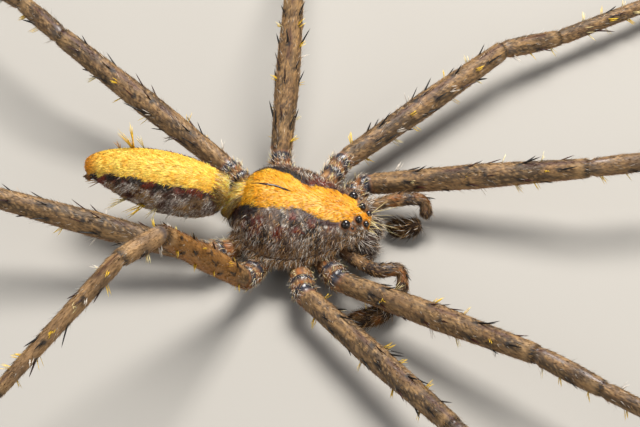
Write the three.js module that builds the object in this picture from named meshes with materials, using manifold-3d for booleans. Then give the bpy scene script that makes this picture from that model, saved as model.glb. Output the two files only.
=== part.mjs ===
// A life-size wandering spider at rest, in millimetres, with +Z up and its head towards +X.
// Its right side is at -Y. Each leg is a chain of solids that meet face to face across a small gap.

import * as THREE from 'three';
import { mergeVertices } from 'three/addons/utils/BufferGeometryUtils.js';
import Module from 'manifold-3d';

const wasm = await Module();
wasm.setup();

// Driving dimensions
const seam = 0.3;
const halfSeam = seam / 2;
const eyeSeam = 0.15;
const hipHeight = 2.7;
const hipRootHeight = 1.7;
const soleHeight = 0.36;
const spineWidth = 0.54;
const spineLength = 1.9;
const spineLean = 32;
const spineSpread = 0.18;
const sides = { r: -1, l: 1 };

// Length of each segment along its axis, one row for each pair of legs from the front
const legLengths = {
  1: { femur: 19.6, patella: 6.4, tibia: 19, metatarsus: 17, tarsus: 6.5 },
  2: { femur: 19.8, patella: 6.2, tibia: 18.5, metatarsus: 17, tarsus: 6.3 },
  3: { femur: 14.6, patella: 5.2, tibia: 14.3, metatarsus: 14, tarsus: 5 },
  4: { femur: 19.6, patella: 5.5, tibia: 17.5, metatarsus: 19, tarsus: 6 },
};

// Where each coxa leaves the sternum and where its femur begins, on the left side
const hips = {
  1: { root: [7.6, 2.3], hip: [10.1, 5.75] },
  2: { root: [6, 3.1], hip: [7.5, 7.8] },
  3: { root: [3.6, 3.3], hip: [2.3, 7.2] },
  4: { root: [1.7, 2.5], hip: [-1.7, 5.1] },
};

// Heading from +X and rise above the floor of each segment, in degrees
const legPose = {
  r1: { femur: [-22.6, 9.6], patella: [-26, 3], tibia: [-16, -9], foot: -14 },
  r2: { femur: [-40.7, 5], patella: [-43, 1], tibia: [-40, -7], foot: -37 },
  r3: { femur: [-126.6, 54.6], patella: [-117, 15], tibia: [-128, -28], foot: -131 },
  r4: { femur: [-175.1, 15.7], patella: [-171, 3], tibia: [-168, -10], foot: -165 },
  l1: { femur: [6.4, 11.2], patella: [18, 3], tibia: [16, -9], foot: 13 },
  l2: { femur: [53.3, 3.3], patella: [40, -12], tibia: [42, -2.5], foot: 44 },
  l3: { femur: [96, 35], patella: [98, 10], tibia: [99, -25], foot: 101 },
  l4: { femur: [155.3, 16.3], patella: [144, 3], tibia: [147, -10], foot: 150 },
};

// Radius of each segment at its start, middle and end
const girth = {
  coxa: [0.72, 0.94, 0.92],
  femur: [0.88, 1.08, 0.84],
  patella: [0.78, 0.84, 0.72],
  tibia: [0.7, 0.64, 0.55],
  metatarsus: [0.48, 0.42, 0.36],
  tarsus: [0.36, 0.38, 0.3],
};

// Spines of each segment: the places along it and the angles around it from its top
const spineRows = {
  femur: { places: [0.24, 0.47, 0.7], angles: [8, 82, -82] },
  patella: { places: [0.55], angles: [95, -95] },
  tibia: { places: [0.2, 0.46, 0.72], angles: [105, -105] },
  metatarsus: { places: [0.12, 0.42], angles: [100, -100] },
};

// Sections of the carapace: place along X, half width, height of the widest line, top and bottom
const carapaceSections = [
  [-0.75, 0, 3.75, 3.75, 3.75],
  [-0.45, 1.3, 3.65, 4.4, 3.35],
  [0.3, 2.35, 3.5, 5.7, 3.3],
  [1.5, 3.75, 3.45, 6.85, 3.3],
  [3.2, 4.7, 3.4, 7, 3.3],
  [5.2, 4.85, 3.4, 6.45, 3.3],
  [6.9, 4.3, 3.45, 6.05, 3.3],
  [8.3, 3.5, 3.6, 5.9, 3.4],
  [9.6, 2.95, 3.85, 5.7, 3.55],
  [10.6, 2.45, 4.05, 5.3, 3.7],
  [11.3, 1.6, 4.15, 4.7, 3.75],
  [11.6, 0.8, 4.15, 4.35, 3.85],
  [11.65, 0, 4.1, 4.1, 4.1],
];

const abdomenSections = [
  [-13.1, 0, 6.25, 6.25, 6.25],
  [-12.95, 0.65, 6.25, 6.8, 5.8],
  [-12.2, 1.25, 6.2, 7.25, 5.35],
  [-10.8, 1.85, 6.05, 7.65, 4.7],
  [-8.8, 2.4, 5.75, 7.95, 3.75],
  [-6.4, 2.7, 5.3, 7.95, 3.05],
  [-3.6, 2.5, 4.95, 7.55, 2.95],
  [-1.9, 1.95, 4.8, 6.95, 3.4],
  [-1.15, 1.1, 4.75, 6, 3.95],
  [-0.98, 0, 4.85, 4.85, 4.85],
];

// Locks of long hair on the abdomen: place along its sections, angle from its top, and length
const abdomenLocks = [
  [0.24, 62, 1.3], [0.3, 98, 1.5], [0.37, 66, 1.7], [0.44, 104, 1.4], [0.52, 76, 1.2],
  [0.6, 112, 1.1], [0.67, 84, 1.1], [0.75, 108, 1],
];

// Eyes of the left side: centre and radius
const eyes = {
  front: { at: [11.38, 0.6, 4.58], radius: 0.29 },
  middle: { at: [10.8, 0.76, 5.2], radius: 0.32 },
  side: { at: [10.45, 1.7, 4.98], radius: 0.14 },
  rear: { at: [9.85, 1.68, 5.35], radius: 0.4 },
};

// Turning points of each curled palp
const palps = {
  r: { arm: [[8.35, -1.1, 2.3], [10, -2.4, 2.55], [12.9, -4.5, 3.4], [15, -4.1, 3.3], [15.5, -5.6, 2.2]],
    tarsus: [[15.3, -6.2, 1.7], [13.6, -7.5, 1.1], [11.5, -8.5, 1]] },
  l: { arm: [[8.35, 1.1, 2.3], [10, 2.4, 2.55], [12.8, 3.6, 3.4], [15.3, 4.3, 3.3], [16, 3.4, 2.2]],
    tarsus: [[15.6, 3, 1.6], [14.3, 2.8, 1.1], [12.8, 2.7, 1]] },
};
const palpGirth = { arm: [0.34, 0.56, 0.58], tarsus: [0.52, 0.78, 0.44] };
const palpTuft = { place: 0.88, width: 0.5, length: 0.9, spread: 0.45, turns: [0, 72, 144, 216, 288] };

const sternumShape = { size: [3.9, 2.9, 0.85], at: [4.4, 0, 2.05] };
const pedicelShape = { from: [0.2, 0, 2.35], to: [-1.4, 0, 2.9], girth: [0.4, 0.4, 0.4] };

// Each chelicera hangs from the face, its fang folded inwards: points of the left one
const cheliceraShape = {
  line: [[10.8, 1.08, 3.4], [11.6, 1.1, 2.5], [11.5, 1.08, 0.65]],
  girth: [0.75, 0.92, 0.6],
  fang: { at: [11.4, 0.95, 0.95], way: [-0.75, -0.35, -0.3], width: 0.5, length: 1.1 },
  locks: {
    places: [0.25, 0.45, 0.65, 0.85],
    turns: [-0.45, 0.35],
    width: 0.5,
    length: 1.3,
    out: 0.35,
    drop: -0.75,
  },
};

// The spinnerets stand under the abdomen's tip: how far each leans out and up, and its length
const spinneretShape = {
  core: [-12.85, 0, 4.9],
  coreRadius: 0.4,
  width: 0.5,
  rootShare: 0.6,
  rows: [[0.3, 0.1, 0.95], [0.26, -0.25, 0.75]],
};

const claw = { width: 0.3, length: 0.75, root: 0.3, apart: 0.12, height: 0.34, way: [0.9, 0.3, -0.2] };
const toeSink = 0.02;
const lockWidth = 0.52;
const lockDepth = 0.85;
const lockSweep = [-0.9, 0, 0.1];

const coat = new THREE.MeshStandardMaterial({ color: '#8b7450', roughness: 0.85, metalness: 0 });
const shield = new THREE.MeshStandardMaterial({ color: '#6d5744', roughness: 0.8, metalness: 0 });
const gold = new THREE.MeshStandardMaterial({ color: '#c9953a', roughness: 0.85, metalness: 0 });
const skin = new THREE.MeshStandardMaterial({ color: '#a9744a', roughness: 0.6, metalness: 0 });
const lens = new THREE.MeshStandardMaterial({ color: '#0c0a09', roughness: 0.08, metalness: 0 });

const radians = THREE.MathUtils.degToRad;
const vector = (numbers) => new THREE.Vector3(...numbers);

// Seeded numbers near 1, so that no two spines are quite alike
const seedStep = 16807;
const seedRange = 2147483647;
let seed = 11;

function varied(spread) {
  seed = (seed * seedStep) % seedRange;
  return 1 + (seed / seedRange - 0.5) * 2 * spread;
}

// Joining and cutting

function solidOf(geometry) {
  const bare = geometry.clone();
  bare.deleteAttribute('normal');
  bare.deleteAttribute('uv');
  const merged = mergeVertices(bare, 1e-4);
  const index = merged.index.array;
  const corners = [];
  for (let i = 0; i < index.length; i += 3) {
    const [a, b, c] = [index[i], index[i + 1], index[i + 2]];
    if (a !== b && b !== c && c !== a) {
      corners.push(a, b, c);
    }
  }
  return new wasm.Manifold(new wasm.Mesh({
    numProp: 3,
    vertProperties: new Float32Array(merged.attributes.position.array),
    triVerts: new Uint32Array(corners),
  }));
}

function geometryOf(solid) {
  const bodies = solid.decompose();
  bodies.sort((a, b) => b.volume() - a.volume());
  const mesh = bodies[0].getMesh();
  const geometry = new THREE.BufferGeometry();
  geometry.setAttribute('position', new THREE.Float32BufferAttribute(mesh.vertProperties, 3));
  geometry.setIndex([...mesh.triVerts]);
  geometry.computeVertexNormals();
  return geometry;
}

function joined(geometries) {
  return geometryOf(geometries.map(solidOf).reduce((whole, piece) => whole.add(piece)));
}

// Shaping

// A ball whose poles become the two ends of a body: place(share, angle) puts each of its points
function reshapedBall(around, rings, place) {
  const ball = new THREE.SphereGeometry(1, around, rings);
  const points = ball.attributes.position;
  for (let i = 0; i < points.count; i += 1) {
    const share = Math.acos(THREE.MathUtils.clamp(points.getY(i), -1, 1)) / Math.PI;
    const angle = Math.atan2(points.getZ(i), points.getX(i));
    const { x, y, z } = place(share, angle);
    points.setXYZ(i, x, y, z);
  }
  return ball;
}

// A body through sections across X
function throughSections(sections, around, rings) {
  const outline = new THREE.CatmullRomCurve3(sections.map(([x, half]) => vector([x, half, 0])));
  const rows = sections.map(([, , waist, top, low]) => vector([waist, top, low]));
  const heights = new THREE.CatmullRomCurve3(rows);
  outline.curveType = 'catmullrom';
  heights.curveType = 'catmullrom';
  return reshapedBall(around, rings, (share, angle) => {
    const { x, y: half } = outline.getPoint(share);
    const { x: waist, y: top, z: low } = heights.getPoint(share);
    const reach = Math.sin(angle) > 0 ? top - waist : waist - low;
    return vector([x, Math.max(half, 0) * Math.cos(angle), waist + reach * Math.sin(angle)]);
  });
}

function blend([start, middle, end], share) {
  const half = share < 0.5 ? [start, middle, share * 2] : [middle, end, share * 2 - 1];
  const eased = THREE.MathUtils.smoothstep(half[2], 0, 1);
  return THREE.MathUtils.lerp(half[0], half[1], eased);
}

// Rounds the last stretch before an end, as far as the body is thick
function endRounding(distance, radius) {
  const open = 1 - Math.min(distance / radius, 1);
  return Math.sqrt(Math.max(1 - open * open, 0));
}

// A round body along a curve, with rounded ends
function alongCurve(curve, radii, around, rings) {
  const length = curve.getLength();
  const frames = curve.computeFrenetFrames(rings, false);
  return reshapedBall(around, rings, (share, angle) => {
    const place = (1 - Math.cos(share * Math.PI)) / 2;
    const radius = blend(radii, place);
    const reach = radius * endRounding(Math.min(place, 1 - place) * length, radius);
    const row = Math.round(place * rings);
    return curve.getPointAt(place)
      .addScaledVector(frames.normals[row], -reach * Math.cos(angle))
      .addScaledVector(frames.binormals[row], -reach * Math.sin(angle));
  });
}

// A straight limb along +X from its own start
function limb(length, radii, around, rings) {
  return reshapedBall(around, rings, (share, angle) => {
    const place = (1 - Math.cos(share * Math.PI)) / 2;
    const radius = blend(radii, place);
    const reach = radius * endRounding(Math.min(place, 1 - place) * length, radius);
    return vector([place * length, reach * Math.cos(angle), reach * Math.sin(angle)]);
  });
}

// A pointed spine or lock of hair, rooted at a point inside a body and leaning the way it grows
function point(width, length, root, direction) {
  const cone = new THREE.ConeGeometry(width / 2, length, 5);
  cone.translate(0, length / 2, 0);
  cone.applyQuaternion(new THREE.Quaternion().setFromUnitVectors(vector([0, 1, 0]), direction.normalize()));
  cone.translate(root.x, root.y, root.z);
  return cone;
}

function spinesOf(rows, length, radii) {
  return rows.places.flatMap((row) => rows.angles.map((degrees) => {
    const angle = radians(degrees);
    const place = row * varied(spineSpread / 3);
    const lean = radians(spineLean * varied(spineSpread));
    const outward = vector([0, Math.sin(angle), Math.cos(angle)]);
    const root = outward.clone().multiplyScalar(blend(radii, place) - spineWidth * 0.8);
    root.x = place * length;
    const direction = outward.multiplyScalar(Math.sin(lean));
    direction.x = Math.cos(lean);
    return point(spineWidth, spineLength * varied(spineSpread), root, direction);
  }));
}

// Placing

const spider = new THREE.Group();

function add(name, geometry, material) {
  const mesh = new THREE.Mesh(geometry, material);
  mesh.name = name;
  spider.add(mesh);
  return mesh;
}

function direction([heading, rise]) {
  const level = Math.cos(radians(rise));
  const [ahead, beside] = [Math.cos(radians(heading)), Math.sin(radians(heading))];
  return vector([level * ahead, level * beside, Math.sin(radians(rise))]);
}

// Sets a limb's mesh at its start and returns where its far joint lies
function lay(mesh, start, pose, length) {
  const way = direction(pose);
  mesh.position.copy(start).addScaledVector(way, halfSeam);
  mesh.rotation.set(0, -radians(pose[1]), radians(pose[0]), 'ZYX');
  return start.clone().addScaledVector(way, length);
}

// Legs

function addSegment(kind, tag, start, pose, length) {
  const clear = length - seam;
  const rows = spineRows[kind];
  const body = limb(clear, girth[kind], 10, 8);
  const geometry = joined([body, ...spinesOf(rows, clear, girth[kind])]);
  return lay(add(`${kind}_${tag}`, geometry, coat), start, pose, length);
}

function addCoxa(tag, root, hip) {
  const way = hip.clone().sub(root);
  const length = way.length();
  const pose = [
    THREE.MathUtils.radToDeg(Math.atan2(way.y, way.x)),
    THREE.MathUtils.radToDeg(Math.asin(way.z / length)),
  ];
  lay(add(`coxa_${tag}`, limb(length - seam, girth.coxa, 10, 8), skin), root, pose, length);
}

// The last two segments and the claws are one solid with its sole flat on the floor
function addFoot(tag, start, heading, lengths) {
  const drop = start.z - soleHeight;
  const rise = -Math.asin(drop / lengths.metatarsus);
  const reach = lengths.metatarsus * Math.cos(rise);
  const shin = limb(lengths.metatarsus - halfSeam, girth.metatarsus, 8, 7);
  const spines = spinesOf(spineRows.metatarsus, lengths.metatarsus, girth.metatarsus);
  const upper = [shin, ...spines].map((piece) => piece.translate(halfSeam, 0, 0).rotateY(-rise)
    .translate(0, 0, start.z));
  const toe = limb(lengths.tarsus, girth.tarsus, 8, 8);
  toe.translate(reach - girth.metatarsus[2], 0, soleHeight - toeSink);
  const tip = reach - girth.metatarsus[2] + lengths.tarsus;
  const claws = Object.values(sides).map((sign) => {
    const root = vector([tip - claw.root, sign * claw.apart, claw.height]);
    return point(claw.width, claw.length, root, vector(claw.way).multiply(vector([1, sign, 1])));
  });
  const geometry = joined([...upper, toe, ...claws]);
  const points = geometry.attributes.position;
  for (let i = 0; i < points.count; i += 1) {
    points.setZ(i, Math.max(points.getZ(i), 0));
  }
  const mesh = add(`foot_${tag}`, geometry, coat);
  mesh.position.set(start.x, start.y, 0);
  mesh.rotation.z = radians(heading);
}

for (const [side, sign] of Object.entries(sides)) {
  for (const [pair, { root, hip }] of Object.entries(hips)) {
    const tag = `${side}${pair}`;
    const lengths = legLengths[pair];
    const pose = legPose[tag];
    const hipPoint = vector([hip[0], sign * hip[1], hipHeight]);
    addCoxa(tag, vector([root[0], sign * root[1], hipRootHeight]), hipPoint);
    const knee = addSegment('femur', tag, hipPoint, pose.femur, lengths.femur);
    const below = addSegment('patella', tag, knee, pose.patella, lengths.patella);
    const ankle = addSegment('tibia', tag, below, pose.tibia, lengths.tibia);
    addFoot(tag, ankle, pose.foot, lengths);
  }
}

// Head and thorax

const sockets = [];
for (const [side, sign] of Object.entries(sides)) {
  for (const [place, { at, radius }] of Object.entries(eyes)) {
    const centre = vector([at[0], sign * at[1], at[2]]);
    const socket = new THREE.SphereGeometry(radius + eyeSeam, 10, 8);
    sockets.push(socket.translate(...centre));
    add(`eye_${place}_${side}`, new THREE.SphereGeometry(radius, 10, 8), lens).position.copy(centre);
  }
}

const carapace = sockets.map(solidOf)
  .reduce((whole, socket) => whole.subtract(socket), solidOf(throughSections(carapaceSections, 28, 22)));
add('carapace', geometryOf(carapace), shield);

const sternum = add('sternum', new THREE.SphereGeometry(1, 18, 10), skin);
sternum.scale.set(...sternumShape.size);
sternum.position.set(...sternumShape.at);

const pedicelLine = new THREE.LineCurve3(vector(pedicelShape.from), vector(pedicelShape.to));
add('pedicel', alongCurve(pedicelLine, pedicelShape.girth, 10, 6), skin);

// Chelicerae, each with its fang

for (const [side, sign] of Object.entries(sides)) {
  const { fang, locks } = cheliceraShape;
  const mirrored = (numbers) => vector(numbers).multiply(vector([1, sign, 1]));
  const line = new THREE.CatmullRomCurve3(cheliceraShape.line.map(mirrored));
  const tooth = point(fang.width, fang.length, mirrored(fang.at), mirrored(fang.way));
  const hairs = locks.places.flatMap((share) => locks.turns.map((turn) => {
    const away = vector([Math.cos(turn), sign * 0.2 + Math.sin(turn), locks.drop]);
    const root = line.getPoint(share).add(vector([locks.out, turn * 0.6, 0]));
    return point(locks.width, locks.length * varied(spineSpread), root, away);
  }));
  add(`chelicera_${side}`, joined([alongCurve(line, cheliceraShape.girth, 12, 10), tooth, ...hairs]), coat);
}

// Palps

for (const [side, { arm, tarsus }] of Object.entries(palps)) {
  const armLine = new THREE.CatmullRomCurve3(arm.map(vector));
  const tarsusLine = new THREE.CatmullRomCurve3(tarsus.map(vector));
  add(`palp_arm_${side}`, alongCurve(armLine, palpGirth.arm, 10, 18), coat);
  const tuft = palpTuft.turns.map((degrees) => {
    const spread = vector([0, Math.sin(radians(degrees)), Math.cos(radians(degrees)) * 0.6 + 0.3]);
    const away = tarsusLine.getTangent(1).addScaledVector(spread, palpTuft.spread);
    return point(palpTuft.width, palpTuft.length, tarsusLine.getPoint(palpTuft.place), away);
  });
  add(`palp_tarsus_${side}`, joined([alongCurve(tarsusLine, palpGirth.tarsus, 10, 9), ...tuft]), coat);
}

// Abdomen and spinnerets

const locks = abdomenLocks.flatMap(([share, degrees, length]) => Object.values(sides).map((sign) => {
  const angle = radians(degrees);
  const section = abdomenSections[Math.round(share * (abdomenSections.length - 1))];
  const [x, half, waist, top, low] = section;
  const reach = Math.cos(angle) > 0 ? top - waist : waist - low;
  const outward = vector([0, sign * Math.sin(angle), Math.cos(angle)]);
  const root = vector([x, half * outward.y * lockDepth, waist + reach * outward.z * lockDepth]);
  return point(lockWidth, length * varied(spineSpread), root, outward.add(vector(lockSweep)));
}));
add('abdomen', joined([throughSections(abdomenSections, 24, 20), ...locks]), gold);

const { core, coreRadius, rootShare } = spinneretShape;
const spinnerets = spinneretShape.rows.flatMap(([out, high, length]) => Object.values(sides).map((sign) => {
  const root = vector(core).add(vector([coreRadius / 2, sign * out * rootShare, high * rootShare]));
  return point(spinneretShape.width, length, root, vector([-1, sign * out, high / 2]));
}));
const base = new THREE.SphereGeometry(coreRadius, 10, 8).translate(...core);
add('spinnerets', joined([base, ...spinnerets]), skin);

// The origin is on the floor under the middle of the spider

const bounds = new THREE.Box3().setFromObject(spider, true);
const middle = bounds.getCenter(new THREE.Vector3());
for (const mesh of spider.children) {
  mesh.position.x -= middle.x;
  mesh.position.y -= middle.y;
}

export default spider;
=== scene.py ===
import math

import bmesh
import bpy
import numpy as np
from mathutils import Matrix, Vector


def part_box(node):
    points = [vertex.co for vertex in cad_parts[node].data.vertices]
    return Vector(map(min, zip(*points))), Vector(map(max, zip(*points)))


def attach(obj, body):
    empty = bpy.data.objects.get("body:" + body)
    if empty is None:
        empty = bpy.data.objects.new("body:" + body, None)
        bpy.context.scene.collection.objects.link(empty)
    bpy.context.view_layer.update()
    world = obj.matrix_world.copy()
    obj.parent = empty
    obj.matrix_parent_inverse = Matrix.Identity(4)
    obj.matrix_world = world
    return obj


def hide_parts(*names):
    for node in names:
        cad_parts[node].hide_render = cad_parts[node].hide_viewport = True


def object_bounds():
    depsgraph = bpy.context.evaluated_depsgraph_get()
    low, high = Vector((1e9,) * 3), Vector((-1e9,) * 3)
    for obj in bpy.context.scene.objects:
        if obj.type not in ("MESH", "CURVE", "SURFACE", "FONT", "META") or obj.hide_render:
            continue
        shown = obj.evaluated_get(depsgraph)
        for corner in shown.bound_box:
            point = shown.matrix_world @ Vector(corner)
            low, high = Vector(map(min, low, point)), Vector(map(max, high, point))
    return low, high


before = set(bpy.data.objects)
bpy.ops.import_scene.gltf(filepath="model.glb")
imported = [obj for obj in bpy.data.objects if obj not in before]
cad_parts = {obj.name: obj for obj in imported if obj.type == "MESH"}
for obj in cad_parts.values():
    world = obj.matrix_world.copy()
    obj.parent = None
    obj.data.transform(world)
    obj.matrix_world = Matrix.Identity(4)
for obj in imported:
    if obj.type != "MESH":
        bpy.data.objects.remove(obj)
cadLow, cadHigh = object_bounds()

# Shapes are worked out in millimetres in the spider's own space: x forward from the waist, y to its
# left, z up from the floor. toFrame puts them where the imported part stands.
mm = 0.001
sides = {"r": -1, "l": 1}
eyeKinds = ("front", "middle", "side", "rear")
fullTurn = 2 * math.pi
rearEyePlace = np.array([9.85, -1.68, 5.35])
hairShare = 1
highestHair = cadHigh.z * 1.02


def boxOf(node):
    # the middle and half the width of a node's box, in metres
    low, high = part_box(node)
    return np.array((low + high) / 2), (high.x - low.x) / 2


spiderOrigin = boxOf("eye_rear_r")[0] - rearEyePlace * mm


def toFrame(points):
    return np.asarray(points, float) * mm + spiderOrigin


def fromFrame(points):
    return (np.asarray(points, float) - spiderOrigin) / mm


def unit(vectors):
    vectors = np.asarray(vectors, float)
    return vectors / np.maximum(np.linalg.norm(vectors, axis=-1, keepdims=True), 1e-9)


def smooth(low, high, value):
    share = np.clip((value - low) / (high - low), 0, 1)
    return share * share * (3 - 2 * share)


def bump(value, middle, width, power=2):
    return np.exp(-((value - middle) / width) ** power)


def tone(color):
    return palette[color] if isinstance(color, str) else np.asarray(color)


def mix(first, second, share):
    # each colour is a name in the palette or its own values
    share = np.asarray(share, float)[..., None]
    return tone(first) * (1 - share) + tone(second) * share


def paint(red, green, blue):
    screen = np.array([red, green, blue]) / 255
    return ((screen + 0.055) / 1.055) ** 2.4      # screen colour to the shader's linear light


def cloud(points, size, seed):
    # soft random lumps, from 0 to 1, about size mm apart
    spots = np.asarray(points, float) / size + seed * 17.3
    cell = np.floor(spots).astype(np.int64)
    inner = spots - cell
    inner = inner * inner * (3 - 2 * inner)
    total = np.zeros(len(spots))
    for corner in range(8):
        offset = np.array([corner & 1, corner >> 1 & 1, corner >> 2 & 1])
        key = (cell + offset) @ np.array([73856093, 19349663, 83492791]) + seed * 7919
        value = np.sin((key % 100003) * 12.9898) * 43758.5453 % 1
        total += value * np.prod(np.where(offset, inner, 1 - inner), axis=1)
    return total


# Materials

def startMaterial(name, roughness, shine=0.5):
    material = bpy.data.materials.new(name)
    material.use_nodes = True
    tree = material.node_tree
    shader = tree.nodes["Principled BSDF"]
    shader.inputs["Roughness"].default_value = roughness
    shader.inputs["Specular IOR Level"].default_value = shine
    return material, tree, shader


def addNode(tree, kind, values=(), **settings):
    node = tree.nodes.new("ShaderNode" + kind)
    for key, value in settings.items():
        setattr(node, key, value)
    for key, value in dict(values).items():
        node.inputs[key].default_value = value
    return node


def join(tree, source, output, target, entry):
    tree.links.new(source.outputs[output], target.inputs[entry])


def breakUp(tree, shader, noise, span, shades):
    # the piece's painted colour, made darker and lighter by a noise
    coat = addNode(tree, "Attribute", attribute_name="coat")
    levels = addNode(tree, "MapRange", {"From Min": span[0], "From Max": span[1],
                                        "To Min": shades[0], "To Max": shades[1]})
    shade = addNode(tree, "Mix", {"Factor": 1}, data_type="RGBA", blend_type="MULTIPLY")
    join(tree, noise, "Fac", levels, "Value")
    join(tree, coat, "Color", shade, "A")
    join(tree, levels, "Result", shade, "B")
    join(tree, shade, "Result", shader, "Base Color")


def hairMaterial(name, roughness, grain, shine):
    material, tree, shader = startMaterial(name, roughness, shine)
    where = addNode(tree, "TexCoord")
    noise = addNode(tree, "TexNoise", {"Scale": 1 / (grain * mm), "Detail": 2})
    join(tree, where, "Object", noise, "Vector")
    breakUp(tree, shader, noise, (0.3, 0.7), (0.8, 1.2))
    return material


def skinMaterial(name, roughness, streaks, relief):
    # fine streaks and relief run along the body, from the skin's own map
    material, tree, shader = startMaterial(name, roughness)
    wrap = addNode(tree, "UVMap", uv_map="wrap")
    stretch = addNode(tree, "Mapping", {"Scale": (*streaks, 1)})
    noise = addNode(tree, "TexNoise", {"Scale": 1, "Detail": 4})
    height = addNode(tree, "Bump", {"Strength": relief, "Distance": 0.06 * mm})
    gloss = addNode(tree, "Attribute", attribute_name="gloss")
    rough = addNode(tree, "MapRange", {"To Min": roughness, "To Max": 0.22})
    join(tree, wrap, "UV", stretch, "Vector")
    join(tree, stretch, "Vector", noise, "Vector")
    join(tree, noise, "Fac", height, "Height")
    join(tree, height, "Normal", shader, "Normal")
    join(tree, gloss, "Fac", rough, "Value")
    join(tree, rough, "Result", shader, "Roughness")
    breakUp(tree, shader, noise, (0.25, 0.75), (0.62, 1.35))
    return material


def lensMaterial():
    material, tree, shader = startMaterial("lens", 0.05, 0.3)
    where = addNode(tree, "TexCoord")
    noise = addNode(tree, "TexNoise", {"Scale": 4 / mm})
    ramp = addNode(tree, "ValToRGB")
    ramp.color_ramp.elements[0].color = (0.004, 0.003, 0.003, 1)
    ramp.color_ramp.elements[1].color = (0.016, 0.01, 0.008, 1)
    join(tree, where, "Object", noise, "Vector")
    join(tree, noise, "Fac", ramp, "Fac")
    join(tree, ramp, "Color", shader, "Base Color")
    shader.inputs["Coat Weight"].default_value = 0.7
    shader.inputs["Coat Roughness"].default_value = 0.02
    return material


furFinish = hairMaterial("shortFur", 0.55, 0.25, 0.15)
bristleFinish = hairMaterial("bristle", 0.32, 0.4, 0.4)
skinFinish = skinMaterial("hairySkin", 0.62, (26, 0.9), 0.7)
shellFinish = skinMaterial("smoothShell", 0.3, (8, 1.5), 0.25)
lensFinish = lensMaterial()

palette = {
    "gold": paint(248, 176, 42), "goldPale": paint(252, 212, 96), "goldDeep": paint(226, 138, 28),
    "red": paint(112, 40, 18), "redDark": paint(62, 20, 10), "black": paint(20, 15, 13),
    "umber": paint(62, 44, 32), "greyBrown": paint(98, 76, 62), "grey": paint(146, 132, 122),
    "white": paint(222, 212, 198), "tan": paint(180, 140, 94), "khaki": paint(124, 93, 58),
    "straw": paint(162, 128, 84), "olive": paint(66, 50, 29), "rust": paint(154, 92, 34),
    "slate": paint(42, 43, 50), "cream": paint(240, 220, 160), "yellow": paint(244, 200, 60),
}


# Camera, floor and lights

photo = {
    "width": 640, "height": 427,
    "waistPixel": (236, 188),      # where the top of the waist is seen
    "waistTop": (0, 0, 6.0),       # the same point on the spider
    "pixelsPerMm": 11.75,
    "distance": 240,
    "turn": 11.6,                  # how far the view is turned from square on to the right side
    "elevation": 47,
}


def makeCamera():
    turn, rise = math.radians(photo["turn"]), math.radians(photo["elevation"])
    right = Vector((math.cos(turn), math.sin(turn), 0))
    level = Vector((-math.sin(turn), math.cos(turn), 0))
    ahead = level * math.cos(rise) - Vector((0, 0, math.sin(rise)))
    up = right.cross(ahead)
    offX = (photo["waistPixel"][0] - photo["width"] / 2) / photo["pixelsPerMm"]
    offY = (photo["height"] / 2 - photo["waistPixel"][1]) / photo["pixelsPerMm"]
    spot = Vector(photo["waistTop"]) - ahead * photo["distance"] - right * offX - up * offY
    data = bpy.data.cameras.new("camera")
    data.sensor_width = 36
    data.lens = photo["pixelsPerMm"] * photo["distance"] / photo["width"] * data.sensor_width
    data.clip_start, data.clip_end = 0.01, 5
    camera = bpy.data.objects.new("camera", data)
    camera.location = toFrame(spot)
    camera.rotation_euler = ahead.to_track_quat("-Z", "Y").to_euler()
    bpy.context.scene.collection.objects.link(camera)
    bpy.context.scene.camera = camera


stage = {
    "floorSize": 1.6,
    "floorColor": (0.33, 0.315, 0.29, 1),
    "lights": [                    # name, place in mm, size in mm, watts, colour
        ("key", (30, 120, 260), 150, 1.65, (1.0, 0.965, 0.92)),
        ("fill", (-190, -150, 180), 240, 0.3, (0.93, 0.96, 1.0)),
        ("front", (180, -150, 130), 160, 0.3, (1.0, 0.98, 0.95)),
    ],
    "lookAt": (3, 0, 4),
    "skyStrength": 0.2,
    "skyColor": (0.95, 0.97, 1.0, 1),
}


def makeStage():
    bm = bmesh.new()
    bmesh.ops.create_grid(bm, x_segments=1, y_segments=1, size=stage["floorSize"] / 2)
    mesh = bpy.data.meshes.new("floor")
    bm.to_mesh(mesh)
    bm.free()
    floor = bpy.data.objects.new("floor", mesh)
    bpy.context.scene.collection.objects.link(floor)
    material, _, shader = startMaterial("floorPaint", 0.9)
    shader.inputs["Base Color"].default_value = stage["floorColor"]
    mesh.materials.append(material)
    aim = Vector(toFrame(stage["lookAt"]))
    for name, spot, size, watts, color in stage["lights"]:
        data = bpy.data.lights.new(name, "AREA")
        data.energy, data.size, data.color = watts, size * mm, color
        light = bpy.data.objects.new(name, data)
        light.location = toFrame(spot)
        light.rotation_euler = (aim - light.location).to_track_quat("-Z", "Y").to_euler()
        bpy.context.scene.collection.objects.link(light)
    world = bpy.data.worlds.new("studio")
    world.use_nodes = True
    sky = world.node_tree.nodes["Background"]
    sky.inputs["Color"].default_value = stage["skyColor"]
    sky.inputs["Strength"].default_value = stage["skyStrength"]
    bpy.context.scene.world = world


makeCamera()
makeStage()
bpy.context.scene.view_settings.view_transform = "Standard"      # keeps the yellow as strong as it is
print("camera, floor and lights ready")


# Skins: rings of points along a body, kept as an array so that hair can be rooted on them

def makeObject(name, mesh, finish, nodes=()):
    piece = bpy.data.objects.new(name, mesh)
    bpy.context.scene.collection.objects.link(piece)
    mesh.materials.append(finish)
    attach(piece, "root")
    if nodes:
        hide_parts(*nodes)
    return piece


def overSkin(values, shape):
    # a value for each point of the skin, or one value spread over it
    values = np.asarray(values, float)
    return values.reshape(shape) if values.size == math.prod(shape) else np.broadcast_to(values, shape)


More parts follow.
